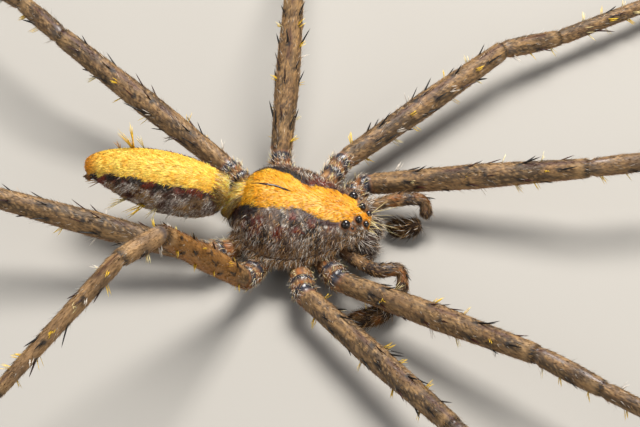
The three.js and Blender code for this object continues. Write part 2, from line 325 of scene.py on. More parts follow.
def makeSkin(name, rings, colors, gloss, nodes=(), finish=skinFinish):
    ringCount, turnCount = rings.shape[:2]
    placed = toFrame(rings)
    bm = bmesh.new()
    ringLayer = bm.verts.layers.int.new("ring")
    turnLayer = bm.verts.layers.int.new("turn")
    wrap = bm.loops.layers.uv.new("wrap")
    bmesh.ops.create_circle(bm, cap_ends=True, segments=turnCount, radius=1)
    for turn, vert in enumerate(bm.verts):
        vert[turnLayer] = turn
        vert.co = placed[0][turn]
    edges = list(bm.edges)
    for ring in range(1, ringCount):
        grown = bmesh.ops.extrude_edge_only(bm, edges=edges)["geom"]
        edges = [g for g in grown if isinstance(g, bmesh.types.BMEdge) and len(g.link_faces) == 1]
        for vert in [g for g in grown if isinstance(g, bmesh.types.BMVert)]:
            vert[ringLayer] = ring
            vert.co = placed[ring][vert[turnLayer]]
    bmesh.ops.contextual_create(bm, geom=edges)
    bmesh.ops.recalc_face_normals(bm, faces=bm.faces)
    lengths = np.linalg.norm(np.diff(rings.mean(1), axis=0), axis=1)
    along = np.concatenate([[0], np.cumsum(lengths)])
    for face in bm.faces:
        face.smooth = True
        turns = [loop.vert[turnLayer] for loop in face.loops]
        crosses = max(turns) - min(turns) > turnCount / 2
        for loop, turn in zip(face.loops, turns):
            full = turn + turnCount if crosses and turn < turnCount / 2 else turn
            loop[wrap].uv = (full / turnCount, along[loop.vert[ringLayer]])
    ring, turn = np.array([(vert[ringLayer], vert[turnLayer]) for vert in bm.verts]).T
    mesh = bpy.data.meshes.new(name)
    bm.to_mesh(mesh)
    bm.free()
    tint = np.ones((len(ring), 4))
    tint[:, :3] = overSkin(colors, rings.shape)[ring, turn]
    shine = overSkin(gloss, rings.shape[:2])[ring, turn].astype(np.float32)
    mesh.color_attributes.new("coat", "FLOAT_COLOR", "POINT").data.foreach_set("color", tint.ravel())
    mesh.attributes.new("gloss", "FLOAT", "POINT").data.foreach_set("value", shine)
    return makeObject(name, mesh, finish, nodes)


def splineThrough(points, shares):
    # an even Catmull-Rom curve through the points, at shares from 0 to 1
    points = np.asarray(points, float)
    padded = np.array([2 * points[0] - points[1], *points, 2 * points[-1] - points[-2]])
    spot = np.clip(np.asarray(shares, float), 0, 1) * (len(points) - 1)
    cell = np.minimum(spot.astype(int), len(points) - 2)
    t = (spot - cell)[:, None]
    a, b, c, d = (padded[cell + k] for k in range(4))
    square, cube = (2 * a - 5 * b + 4 * c - d) * t ** 2, (3 * b - a - 3 * c + d) * t ** 3
    return 0.5 * (2 * b + (c - a) * t + square + cube)


def sectionRings(sections, ringCount, turnCount):
    # each section: x, half width, height of the widest line, top and bottom
    shares = np.linspace(0.004, 0.996, ringCount)
    x, half, waist, top, low = splineThrough(sections, shares).T[:, :, None]
    angle = np.linspace(0, fullTurn, turnCount, endpoint=False)[None]
    reach = np.where(np.cos(angle) > 0, top - waist, waist - low)
    rings = np.empty((ringCount, turnCount, 3))
    rings[..., 0] = x
    rings[..., 1] = np.maximum(half, 0.02) * np.sin(angle)
    rings[..., 2] = waist + reach * np.cos(angle)
    return rings


def tubeRings(path, directions, radii, turnCount):
    angle = np.linspace(0, fullTurn, turnCount, endpoint=False)
    up = unit(np.array([0, 0, 1]) - directions * directions[:, 2:3])
    left = np.cross(up, directions)
    ring = up[:, None] * np.cos(angle)[None, :, None] + left[:, None] * np.sin(angle)[None, :, None]
    return path[:, None] + ring * radii[:, None, None]


def curveRings(points, radii, ringCount, turnCount):
    # a tube along a curve, with round ends
    dense = splineThrough(points, np.linspace(0, 1, 200))
    steps = np.concatenate([[0], np.cumsum(np.linalg.norm(np.diff(dense, axis=0), axis=1))])
    length = steps[-1]
    share = (1 - np.cos(np.linspace(0.02, 0.98, ringCount) * math.pi)) / 2
    path = np.stack([np.interp(share * length, steps, dense[:, k]) for k in range(3)], 1)
    directions = unit(np.gradient(path, axis=0))
    girth = np.interp(share, np.linspace(0, 1, len(radii)), radii)
    fromEnd = np.minimum(share, 1 - share) * length
    girth = girth * np.sqrt(1 - (1 - np.minimum(fromEnd / girth, 1)) ** 2)
    return tubeRings(path, directions, girth, turnCount)


# Hair: one small solid tuft is modelled, then copied to every root

def tuftShape(rows):
    # a three-sided spike one unit long and one unit wide, with a belly at each row
    bm = bmesh.new()
    bmesh.ops.create_cone(bm, cap_ends=True, segments=3, radius1=0.5, radius2=0, depth=1)
    bmesh.ops.translate(bm, verts=bm.verts, vec=(0, 0, 0.5))
    bmesh.ops.remove_doubles(bm, verts=bm.verts, dist=1e-5)
    for height, swell in rows:
        cut = bmesh.ops.bisect_plane(bm, geom=[*bm.verts, *bm.edges, *bm.faces], dist=1e-6,
                                     plane_co=(0, 0, height), plane_no=(0, 0, 1))["geom_cut"]
        ring = [g for g in cut if isinstance(g, bmesh.types.BMVert)]
        bmesh.ops.scale(bm, vec=(swell, swell, 1), verts=ring)
    bmesh.ops.triangulate(bm, faces=bm.faces)
    bmesh.ops.recalc_face_normals(bm, faces=bm.faces)
    bm.verts.index_update()
    points = np.array([v.co for v in bm.verts])
    faces = np.array([[v.index for v in f.verts] for f in bm.faces])
    bm.free()
    return points, faces


tuftShapes = {
    "stub": tuftShape([]),
    "blade": tuftShape([(0.45, 1.5)]),
    "long": tuftShape([(0.3, 1.25), (0.65, 1.7)]),
    "spine": tuftShape([(0.12, 1.1), (0.4, 1.35), (0.75, 1.6)]),
}


def rootsOn(rings, count, seed, weight=None, share=hairShare):
    # scatters roots evenly over a skin, or by a weight for each place
    rng = np.random.default_rng(seed)
    nextTurn = np.roll(rings, -1, axis=1)
    first, second = rings[:-1], rings[1:]
    along = ((second - first) + (nextTurn[1:] - nextTurn[:-1])) / 2
    across = nextTurn[:-1] - first
    normal = np.cross(along, across)
    area = np.linalg.norm(normal, axis=-1)
    middle = (first + nextTurn[1:]) / 2
    outward = np.sum(normal * (middle - rings[:-1].mean(1, keepdims=True)), axis=-1)
    normal = normal * np.sign(outward)[..., None]
    chance = area if weight is None else area * weight(middle.reshape(-1, 3)).reshape(area.shape)
    chance = chance.ravel() / chance.sum()
    picked = rng.choice(chance.size, int(count * share), p=chance)
    ring, turn = np.divmod(picked, rings.shape[1])
    a, b = rng.random((2, len(picked), 1))
    low = first[ring, turn] * (1 - b) + nextTurn[ring, turn] * b
    high = second[ring, turn] * (1 - b) + nextTurn[ring + 1, turn] * b
    return {
        "place": low * (1 - a) + high * a, "normal": unit(normal[ring, turn]),
        "along": unit(along[ring, turn]), "across": unit(across[ring, turn]),
        "share": (ring + a[:, 0]) / (rings.shape[0] - 1), "turn": (turn + b[:, 0]) / rings.shape[1],
        "rng": rng,
    }


def rootsAt(rings, ring, turn, seed, jitter=0.0):
    # roots at chosen places of a skin, by the number of the ring and of the turn round it
    rng = np.random.default_rng(seed)
    ring = np.clip(np.asarray(ring, int), 1, len(rings) - 2)
    turn = np.asarray(turn, int) % rings.shape[1]
    along = rings[ring + 1, turn] - rings[ring - 1, turn]
    across = rings[ring, (turn + 1) % rings.shape[1]] - rings[ring, turn - 1]
    place = rings[ring, turn]
    normal = np.cross(along, across)
    facing = np.sign(np.sum(normal * (place - rings[ring].mean(1)), axis=1, keepdims=True))
    along, across = unit(along), unit(across)
    shift = rng.normal(0, 1, (2, len(ring), 1)) * jitter
    return {
        "place": place + along * shift[0] + across * shift[1], "normal": unit(normal * facing),
        "along": along, "across": across,
        "share": ring / (len(rings) - 1), "turn": turn / rings.shape[1],
        "rng": rng,
    }


def nearest(rings, spots):
    gaps = np.linalg.norm(rings.reshape(1, -1, 3) - np.asarray(spots, float)[:, None], axis=-1)
    return np.divmod(gaps.argmin(1), rings.shape[1])


def tintsFrom(rng, count, names):
    return np.array([palette[name] for name in names])[rng.integers(0, len(names), count)]


def pick(roots, keep):
    return {key: value if key == "rng" else value[keep] for key, value in roots.items()}


def growTufts(name, roots, lie, colors, slotName, shape="stub", length=0.5, width=0.06, lift=14, liftSpread=5,
              stray=12, curl=-0.15, flat=0.6, sink=0.04, tip=1.25, shades=(0.62, 1.3), finish=furFinish,
              tile=(0, 1)):
    # sizes in mm; lift from the skin and stray from lie in degrees; tip and shades: shares of the colour
    rng = roots["rng"]
    count = len(roots["place"])
    points, faces = tuftShapes[shape]
    climb = points[:, 2][None, :, None]
    normal = roots["normal"]
    lie = unit(lie - normal * np.sum(lie * normal, axis=1, keepdims=True))
    side = np.cross(normal, lie)
    stray = np.radians(rng.normal(0, stray, count))[:, None]
    lie = lie * np.cos(stray) + side * np.sin(stray)
    lift = np.radians(np.clip(rng.normal(lift, liftSpread, count), 1, 88))[:, None]
    direction = lie * np.cos(lift) + normal * np.sin(lift)
    side = unit(np.cross(normal, direction))
    rise = np.cross(direction, side)
    length = (np.asarray(length) * rng.uniform(0.65, 1.3, count))[:, None, None]
    width = (np.asarray(width) * rng.uniform(0.75, 1.25, count))[:, None, None]
    bend = curl * rng.uniform(0.5, 1.5, (count, 1, 1))
    center = roots["place"][:, None] - normal[:, None] * sink
    center = center + (direction[:, None] * climb + normal[:, None] * bend * climb ** 2) * length
    body = side[:, None] * points[:, 0][None, :, None] + rise[:, None] * points[:, 1][None, :, None] * flat
    placed = toFrame(center + body * width)
    # no hair reaches under the floor or rises much above the solids
    clear = (placed[..., 2].min(axis=1) > 0) & (placed[..., 2].max(axis=1) < highestHair)
    roots, placed, colors = pick(roots, clear), placed[clear], colors[clear]
    count, size = len(placed), len(points)
    corners = (faces[None] + (np.arange(count) * size)[:, None, None]).ravel()
    mesh = bpy.data.meshes.new(name)
    mesh.vertices.add(count * size)
    mesh.vertices.foreach_set("co", placed.astype(np.float32).ravel())
    mesh.loops.add(len(corners))
    mesh.loops.foreach_set("vertex_index", corners.astype(np.int32))
    mesh.polygons.add(len(corners) // 3)
    mesh.polygons.foreach_set("loop_start", np.arange(0, len(corners), 3, dtype=np.int32))
    mesh.update(calc_edges=True)
    tint = np.ones((count, size, 4))
    root = 0.7
    tint[..., :3] = colors[:, None] * rng.uniform(*shades, (count, 1, 1)) * (root + (tip - root) * climb)
    tint = np.clip(tint, 0, 1)
    mesh.color_attributes.new("coat", "FLOAT_COLOR", "POINT").data.foreach_set("color", tint.ravel())
    # each tuft has a small patch of its own at its root's place on the unwrapped skin
    patchSize, slant, margin = 0.003, 0.4, 0.005
    patch = (points[:, :2] + points[:, 2:3] * slant) * patchSize
    low, high = tile
    spot = np.stack([roots["turn"], low + (high - low) * roots["share"]], 1) * (1 - 2 * margin) + margin
    uv = (spot[:, None] + patch[None]).reshape(-1, 2)[corners]
    mesh.uv_layers.new(name="OFBake").data.foreach_set("uv", uv.astype(np.float32).ravel())
    print(name, count, "tufts,", len(corners) // 3, "triangles")
    return makeObject(name, mesh, finish)


def furOver(name, rings, count, seed, names, slotName, along=1, lean=(0, 0, 0), weight=None, **look):
    # hair of a few colours strewn over a skin, lying along it or leaning another way
    roots = rootsOn(rings, count, seed, weight)
    colors = tintsFrom(roots["rng"], len(roots["place"]), names)
    growTufts(name, roots, roots["along"] * along + np.array(lean), colors, slotName, **look)


def growPencils(name, rings, pencils, slotName, seed, width, jitter=0.09, spread=0.16):
    # pencils: where they grow, which way, how long, how many hairs and their colour
    places, ways, lengths, counts, names = zip(*pencils)
    ring, turn = nearest(rings, places)
    roots = rootsAt(rings, np.repeat(ring, counts), np.repeat(turn, counts), seed, jitter)
    ways = unit(np.repeat(ways, counts, axis=0))
    ways = ways + roots["rng"].normal(0, spread, ways.shape)
    lift = np.degrees(np.arcsin(np.clip(np.sum(unit(ways) * roots["normal"], axis=1), 0.1, 0.98)))
    colors = np.repeat([palette[tint] for tint in names], counts, axis=0)
    growTufts(name, roots, ways, colors, slotName, shape="long", length=np.repeat(lengths, counts),
              width=width, lift=lift, liftSpread=3, stray=4, curl=-0.05, flat=0.9, tip=1.1,
              finish=bristleFinish)


# Carapace

carapace = {
    "sections": [
        (-0.75, 0, 3.75, 3.75, 3.75),
        (-0.45, 1.3, 3.65, 4.4, 3.35),
        (0.3, 2.35, 3.5, 5.7, 3.3),
        (1.5, 3.75, 3.45, 6.85, 3.3),
        (3.2, 4.7, 3.4, 7.0, 3.3),
        (5.2, 4.85, 3.4, 6.45, 3.3),
        (6.9, 4.3, 3.45, 6.05, 3.3),
        (8.3, 3.5, 3.6, 5.9, 3.4),
        (9.6, 2.95, 3.85, 5.7, 3.55),
        (10.6, 2.45, 4.05, 5.3, 3.7),
        (11.3, 1.6, 4.15, 4.7, 3.75),
        (11.6, 0.8, 4.15, 4.35, 3.85),
        (11.65, 0, 4.1, 4.1, 4.1),
    ],
    "stripe": [                    # x and the golden stripe's half width there
        (-0.9, 0.7), (0.0, 1.2), (0.8, 1.55), (1.8, 1.95), (2.7, 2.2), (3.6, 2.05), (4.5, 1.85), (5.4, 1.45),
        (6.1, 1.2), (6.8, 1.5), (7.8, 1.7), (8.7, 1.62), (9.6, 1.35), (10.5, 1.05), (11.2, 0.4),
    ],
    "stripeSeed": 3,
    "shortTufts": 34000, "longTufts": 13000, "bandTufts": 18000, "fringe": 1300,
    "fovea": [(1.35, 0, 6.74), (1.9, 0.03, 6.9), (2.6, -0.02, 6.97), (3.3, 0.02, 6.95), (4.1, 0, 6.78),
              (4.9, 0.03, 6.5)],
    "foveaRadii": [0.06, 0.15, 0.13, 0.06], "rimRadii": [0.06, 0.13, 0.06],
    "rimOffset": (0.08, 0.04),     # outwards and down from the widest line
    "bareFovea": (0.09, 1.4, 4.9),      # half width and the two ends of the hairless line
    "skinShade": 0.6,              # of the skin under the fur, as a share of its colour
    "grid": (110, 96), "foveaGrid": (50, 12), "rimGrid": (90, 10),      # rings and points round each
    "darkShare": 0.045,            # of the stripe's hair
}
carapaceRings = sectionRings(carapace["sections"], *carapace["grid"])


def stripeDepth(points, part):
    # how far inside the golden stripe a point is, in mm, with a ragged edge
    half = np.interp(points[:, 0], *zip(*part["stripe"]))
    ragged = (cloud(points, 0.5, part["stripeSeed"]) - 0.5) * 0.34
    return half + ragged - np.abs(points[:, 1])


def carapaceColors(points, rng):
    inside = stripeDepth(points, carapace)
    x, y, z = points.T
    lumps, fine = cloud(points, 1.1, 5), cloud(points, 0.35, 6)
    clump = smooth(0.45, 0.62, cloud(points * [1, 1, 0.6], 0.55, 10))
    chance = rng.random(len(points))
    gold = mix("gold", "goldDeep", smooth(0.4, 0.85, lumps) * 0.6)
    gold = mix(gold, "goldPale", smooth(0.5, 0.9, fine) * 0.55)
    side = mix(palette["greyBrown"] * 1.3, palette["umber"] * 0.5, smooth(0.3, 0.6, lumps))
    side = mix(side, "grey", (chance > 0.9 - 0.45 * clump) * 0.85)
    side = mix(side, "white", (chance > 0.98 - 0.16 * clump) * 0.9)
    side = mix(side, "tan", (chance < 0.08 + 0.4 * smooth(5.0, 3.5, z)) * 0.8)
    side = mix(side, "khaki", smooth(8.4, 10.2, x) * (chance < 0.6) * 0.7)
    redSpots = smooth(0.57, 0.66, cloud(points, 0.85, 9)) * smooth(4.2, 5.2, z) * smooth(9.5, 8, x)
    side = mix(side, "red", redSpots * (chance < 0.88) * 0.95)
    # the dark border is broad behind on the far side, broken on the near side and red towards the head
    far = smooth(0.2, 1.2, x) * smooth(6.6, 5.6, x) * 0.85
    near = smooth(2.9, 1.9, x) * 0.8
    head = smooth(5.6, 6.6, x) * smooth(10.4, 9.6, x) * 0.42
    width = np.maximum(np.where(y > 0, far, near), head) + 0.1
    edge = smooth(-1.0, -0.75, (inside + (fine - 0.5) * 0.4) / width) * smooth(0.03, -0.05, inside)
    redness = np.clip(smooth(5.4, 6.4, x) + smooth(0.55, 0.7, lumps) * 0.6, 0, 1)
    side = mix(side, mix("black", "redDark", redness), edge * 0.95)
    return mix(side, gold, inside > 0)


def gridColors(rings, painter, seed):
    return painter(rings.reshape(-1, 3), np.random.default_rng(seed))


def inEyes(points, margin):
    blocked = np.zeros(len(points), bool)
    for kind in eyeKinds:
        for side in sides:
            middle, radius = boxOf(f"eye_{kind}_{side}")
            blocked |= np.linalg.norm(points - fromFrame(middle), axis=1) < radius / mm + margin
    return blocked


def onFovea(points):
    half, rear, front = carapace["bareFovea"]
    return (np.abs(points[:, 1]) < half) & (points[:, 0] > rear) & (points[:, 0] < front)


def backAndDown(roots, down):
    # hair lies towards the rear and spills down each side of the midline
    y = roots["place"][:, 1]
    side = np.sign(y) * smooth(0, 1.2, np.abs(y))
    spill = np.stack([np.zeros(len(side)), side, -np.abs(side) * 0.8], 1)
    return np.array([-1.0, 0, 0]) + spill * down


def bandRoots(rings, part, seed, lowest):
    # roots inside the golden stripe
    roots = rootsOn(rings, part["bandTufts"], seed,
                    lambda p: (stripeDepth(p, part) > -0.15) * (p[:, 2] > lowest) + 1e-6)
    return pick(roots, stripeDepth(roots["place"], part) > 0)


def coatCarapace():
    top = bandRoots(carapaceRings, carapace, 11, 3.6)
    top = pick(top, ~inEyes(top["place"], 0.06) & ~onFovea(top["place"]))
    colors = carapaceColors(top["place"], top["rng"])
    dark = top["rng"].random(len(colors)) < carapace["darkShare"]
    colors[dark] = palette["umber"] * 0.4
    growTufts("carapaceStripeFur", top, backAndDown(top, 0.5), colors, "carapace_hair", shape="blade", lift=9,
              stray=11, curl=-0.12)
    flank = rootsOn(carapaceRings, carapace["shortTufts"], 12, lambda p: (p[:, 2] > 3.32) * 1.0)
    flank = pick(flank, (stripeDepth(flank["place"], carapace) <= 0.03) & ~inEyes(flank["place"], 0.1))
    growTufts("carapaceFlankFur", flank, backAndDown(flank, 1.5),
              carapaceColors(flank["place"], flank["rng"]), "carapace_hair", length=0.45, lift=15,
              liftSpread=7, stray=22, shades=(0.4, 1.65))
    long = rootsOn(carapaceRings, carapace["longTufts"], 13,
                   lambda p: (p[:, 2] > 3.6) * (0.25 + smooth(5.8, 3.8, p[:, 2])))
    fromStripe = -stripeDepth(long["place"], carapace)
    sparse = long["rng"].random(len(fromStripe)) < smooth(0.1, 1.4, fromStripe)
    long = pick(long, sparse & ~inEyes(long["place"], 0.45))
    chance = long["rng"].random(len(long["place"]))
    pale = (chance > 0.97 - 0.3 * smooth(0.45, 0.6, cloud(long["place"], 0.7, 17))) * 0.85
    colors = mix(carapaceColors(long["place"], long["rng"]) * 0.9, "white", pale)
    colors = mix(colors, "tan", (chance < 0.25) * 0.7)
    lower = smooth(5.6, 3.6, long["place"][:, 2])
    growTufts("carapaceLongFur", long, backAndDown(long, 2.2), colors, "carapace_hair", shape="blade",
              length=0.7 + 0.1 * lower, width=0.045, lift=22, liftSpread=9, stray=26, curl=-0.25, tip=1.4,
              shades=(0.45, 1.6))


def makeRim(name, side):
    # the carapace's edge, where it is widest, from its rear round to the face, with its fringe
    rows = [row for row in carapace["sections"] if 0.2 < row[0] < 9.8]
    out, drop = carapace["rimOffset"]
    line = [(x, side * (half + out), level - drop) for x, half, level, *_ in rows]
    rings = curveRings(line, carapace["rimRadii"], *carapace["rimGrid"])
    colors = mix("black", "redDark", cloud(rings.reshape(-1, 3), 0.6, 7) * 0.6)
    makeSkin(f"carapaceRim_{name}", rings, colors, 0.7)
    roots = rootsOn(rings, carapace["fringe"], 14 + side)
    colors = tintsFrom(roots["rng"], len(roots["place"]), ["white", "tan", "tan", "greyBrown", "umber"])
    lie = np.array([-0.35, side, -0.75]) + roots["rng"].normal(0, 0.3, (len(colors), 3))
    roots["normal"] = np.tile(unit(np.array([0, side * 0.5, 0.9])), (len(colors), 1))
    growTufts(f"carapaceFringe_{name}", roots, lie, colors, "carapace_hair", shape="blade", length=0.9,
              width=0.05, lift=4, liftSpread=12, stray=20, curl=-0.2, sink=0.02, tip=1.3, tile=(0, 0.5))


carapacePaint = gridColors(carapaceRings, carapaceColors, 1) * carapace["skinShade"]
carapacePaint[inEyes(carapaceRings.reshape(-1, 3), 0.17)] = palette["rust"] * 0.5
makeSkin("carapaceSkin", carapaceRings, carapacePaint, 0.2, ["carapace"])
coatCarapace()
for name, side in sides.items():
    makeRim(name, side)
foveaRings = curveRings(carapace["fovea"], carapace["foveaRadii"], *carapace["foveaGrid"])
makeSkin("fovea", foveaRings, palette["redDark"] * 0.5, 1, finish=shellFinish)
print("carapace ready")


# Abdomen, waist, sternum and spinnerets

abdomen = {
    "sections": [
        (-13.1, 0, 6.25, 6.25, 6.25),
        (-12.95, 0.65, 6.25, 6.8, 5.8),
        (-12.2, 1.25, 6.2, 7.25, 5.35),
        (-10.8, 1.85, 6.05, 7.65, 4.7),
        (-8.8, 2.4, 5.75, 7.95, 3.75),
        (-6.4, 2.7, 5.3, 7.95, 3.05),
        (-3.6, 2.5, 4.95, 7.55, 2.95),
        (-1.9, 1.95, 4.8, 6.95, 3.4),
        (-1.15, 1.1, 4.75, 6, 3.95),
        (-0.98, 0, 4.85, 4.85, 4.85),
    ],
    "stripe": [(-13.2, 0.75), (-12.6, 1.05), (-11.8, 1.3), (-10.3, 1.55), (-8.2, 1.75), (-6.5, 1.85),
               (-4.5, 1.75), (-3.0, 1.45), (-1.9, 1.2), (-1.0, 0.9)],
    "stripeSeed": 13,
    "bandTufts": 16000, "tufts": 18500, "stars": 190, "hairsInStar": 5,
    "grid": (100, 80), "skinShade": 0.7,
}
abdomenRings = sectionRings(abdomen["sections"], *abdomen["grid"])


def abdomenColors(points, rng):
    inside = stripeDepth(points, abdomen)
    x, y, z = points.T
    lumps, fine = cloud(points, 1.2, 15), cloud(points, 0.3, 16)
    clump = smooth(0.42, 0.6, cloud(points, 0.6, 14))
    chance = rng.random(len(points))
    gold = mix("goldPale", "gold", smooth(0.3, 0.75, fine) * 0.7)
    gold = mix(gold, "goldDeep", smooth(-11.4, -12.8, x) * 0.8)
    # the flank's straw, grey-brown, grey and white hair is painted lighter than its own colour: painted
    # light, as the flank lies in its own shade
    side = mix("straw", "greyBrown", smooth(0.25, 0.6, lumps))
    side = mix(side, palette["grey"] * 1.5, (chance > 0.85 - 0.5 * clump) * 0.85)
    side = mix(side, "white", (chance > 0.96 - 0.25 * clump) * 0.95)
    # more straw towards the bottom of the flank: painted light where the flank faces down into shade
    side = mix(side, "straw", smooth(5.0, 3.8, z) * 0.6)
    specks = smooth(0.66, 0.74, cloud(points, 0.42, 19)) * smooth(4.0, 5.0, z)
    side = mix(side, "redDark", specks * 0.95)
    side = mix(side, "black", smooth(-11.6, -12.4, x) * 0.7)
    # the border is broad and spotted on the near side, a thin red line on the far side
    width = np.where(y > 0, 0.3, 0.48)
    border = smooth(-1.0, -0.7, (inside + (fine - 0.5) * 0.3) / width) * smooth(0.02, -0.06, inside)
    spotted = mix("red", "black", smooth(0.42, 0.56, cloud(points, 0.5, 21)))
    side = mix(side, spotted, border * 0.94)
    return mix(side, gold, inside > 0)


hairPencils = [
    ((-9.4, 1.75, 7.2), (-0.25, 0.1, 1), 2.3, 14, "yellow"),
    ((-8.4, 1.9, 6.9), (-0.4, 0.3, 0.9), 1.3, 4, "cream"),
    ((-10.4, 1.5, 7.0), (-0.5, 0.4, 0.8), 0.9, 4, "tan"),
    ((-9.3, -2.1, 4.6), (-0.9, -0.9, -0.1), 2.0, 10, "cream"),
    ((-7.6, -2.4, 4.9), (-0.9, -0.7, -0.3), 1.7, 8, "yellow"),
    ((-6.4, -2.6, 4.7), (-0.5, -0.9, -0.4), 1.2, 5, "cream"),
    ((-5.0, -2.6, 4.5), (-0.4, -0.9, -0.2), 1.0, 5, "white"),
    ((-3.6, -2.4, 4.4), (-0.2, -1, 0), 1.0, 5, "white"),
    ((-9.3, 2.1, 4.6), (-0.9, 0.9, -0.1), 1.4, 6, "cream"),
    ((-6.4, 2.6, 4.7), (-0.5, 0.9, -0.2), 1.2, 5, "cream"),
    ((-3.6, 2.4, 4.4), (-0.2, 1, 0), 1.0, 5, "white"),
    ((-11.9, -1.2, 5.2), (-1, -0.6, -0.2), 1.0, 5, "tan"),
    ((-11.9, 1.2, 5.2), (-1, 0.6, -0.2), 1.0, 5, "tan"),
]


def coatAbdomen():
    top = bandRoots(abdomenRings, abdomen, 21, 5.2)
    growTufts("abdomenStripeFur", top, backAndDown(top, 0.3), abdomenColors(top["place"], top["rng"]),
              "abdomen_hair", shape="blade", length=0.48, lift=10, stray=11, curl=-0.12)
    flank = rootsOn(abdomenRings, abdomen["tufts"], 22)
    flank = pick(flank, stripeDepth(flank["place"], abdomen) <= 0.03)
    growTufts("abdomenFlankFur", flank, backAndDown(flank, 0.8), abdomenColors(flank["place"], flank["rng"]),
              "abdomen_hair", shape="blade", width=0.055, lift=20, liftSpread=9, stray=26, shades=(0.45, 1.7))


def growStars(seed):
    # small bunches of white hair strewn over the flanks
    rng = np.random.default_rng(seed)
    each = abdomen["hairsInStar"]
    spots = rootsOn(abdomenRings, abdomen["stars"], seed, share=1)["place"]
    spots = spots[(stripeDepth(spots, abdomen) < -0.9) & (spots[:, 0] < -1.6)]
    ring, turn = nearest(abdomenRings, spots)
    roots = rootsAt(abdomenRings, np.repeat(ring, each), np.repeat(turn, each), seed, 0.1)
    colors = tintsFrom(rng, len(roots["place"]), ["white", "white", "grey", "tan"])
    growTufts("abdomenStars", roots, backAndDown(roots, 1.2), colors, "abdomen_hair", shape="long",
              length=0.7, width=0.05, lift=38, liftSpread=12, stray=40, finish=bristleFinish)


waist = {
    "line": [(0.2, 0, 2.35), (-0.6, 0, 2.6), (-1.4, 0, 2.9)],
    "radii": [0.4, 0.4, 0.4], "grid": (16, 20),
    "rearTufts": 1100, "frontTufts": 900,
}


def bridgeWaist():
    # long hair from the rear of the carapace and the front of the abdomen meets over the waist
    rear = rootsOn(carapaceRings, waist["rearTufts"], 25,
                   lambda p: (p[:, 0] < 0.9) * (np.abs(p[:, 1]) < 1.35) * (p[:, 2] > 4.3) + 1e-6)
    front = rootsOn(abdomenRings, waist["frontTufts"], 26,
                    lambda p: (p[:, 0] > -2.0) * (np.abs(p[:, 1]) < 1.7) * (p[:, 2] > 4.3) + 1e-6)
    for name, roots, way, length, slotName in (("waistFurRear", rear, -1, 1.35, "carapace_hair"),
                                               ("waistFurFront", front, 0.8, 1.1, "abdomen_hair")):
        y = roots["place"][:, 1]
        lie = np.stack([np.full(len(y), float(way)), y * 0.35, np.full(len(y), 0.25)], 1)
        # the hair is painted 1.4 times lighter than its colours: painted light, as it faces down and back
        # into shade
        colors = tintsFrom(roots["rng"], len(y), ["goldPale", "gold", "cream", "tan"]) * 1.4
        colors = mix(colors, "umber", smooth(0.5, 1.1, np.abs(y)) * 0.85)
        growTufts(name, roots, lie, colors, slotName, shape="blade", length=length, width=0.055, lift=24,
                  liftSpread=10, stray=18, curl=-0.2)


abdomenPaint = gridColors(abdomenRings, abdomenColors, 2) * abdomen["skinShade"]
makeSkin("abdomenSkin", abdomenRings, abdomenPaint, 0, ["abdomen"])
coatAbdomen()
growPencils("abdomenPencils", abdomenRings, hairPencils, "abdomen_hair", 23, 0.1)
growStars(24)
bridgeWaist()
waistRings = curveRings(waist["line"], waist["radii"], *waist["grid"])
makeSkin("waistSkin", waistRings, palette["umber"], 0, ["pedicel"])

sternum = {
    "sections": [
        (0.5, 0, 2.05, 2.05, 2.05),
        (1.0, 1.4, 2.05, 2.45, 1.66),
        (2.3, 2.4, 2.05, 2.7, 1.34),
        (4.4, 2.82, 2.05, 2.85, 1.24),
        (6.5, 2.3, 2.05, 2.7, 1.34),
        (7.8, 1.3, 2.05, 2.45, 1.66),
        (8.28, 0, 2.05, 2.05, 2.05),
    ],
    "tufts": 5000, "grid": (40, 48),
}
sternumRings = sectionRings(sternum["sections"], *sternum["grid"])
sternumPaint = mix("umber", "greyBrown", cloud(sternumRings.reshape(-1, 3), 1.2, 27))
makeSkin("sternumSkin", sternumRings, sternumPaint, 0, ["sternum"])
furOver("sternumFur", sternumRings, sternum["tufts"], 28, ["greyBrown", "umber", "tan", "khaki"],
        "under_skin", along=0, lean=(-1, 0, 0), stray=20)

spinnerets = {
    "core": [(-12.47, 0, 4.92), (-12.85, 0, 4.9), (-13.22, 0, 4.88)],
    "coreRadii": [0.36, 0.38, 0.34], "coreGrid": (14, 16),
    "rows": [("upper", 0.3, 0.1, 0.6), ("lower", 0.26, -0.25, 0.45)],      # name, spread, height, length
    "radii": [0.21, 0.21, 0.105], "grid": (20, 14),
    "tufts": 300,
}


def makeSpinneret(row, out, high, length, name, side):
    start = np.array(spinnerets["core"][1]) + [0.1, side * out * 0.6, high * 0.6]
    way = unit(np.array([-1, side * out, high * 0.5]))
    line = [start, start + way * length * 0.5, start + way * length]
    rings = curveRings(line, spinnerets["radii"], *spinnerets["grid"])
    colors = mix("rust", "umber", smooth(0.4, 0.9, np.linspace(0, 1, len(rings))))
    makeSkin(f"spinneret_{row}_{name}", rings, colors[:, None] * 0.7, 0)
    furOver(f"spinneretFur_{row}_{name}", rings, spinnerets["tufts"], 29, ["tan", "umber", "khaki"],
            "spinneret_skin", length=0.22, width=0.04, lift=15)


coreRings = curveRings(spinnerets["core"], spinnerets["coreRadii"], *spinnerets["coreGrid"])
makeSkin("spinneretCore", coreRings, palette["umber"], 0, ["spinnerets"])
for row in spinnerets["rows"]:
    for name, side in sides.items():
        makeSpinneret(*row, name, side)
print("abdomen ready")


# Legs

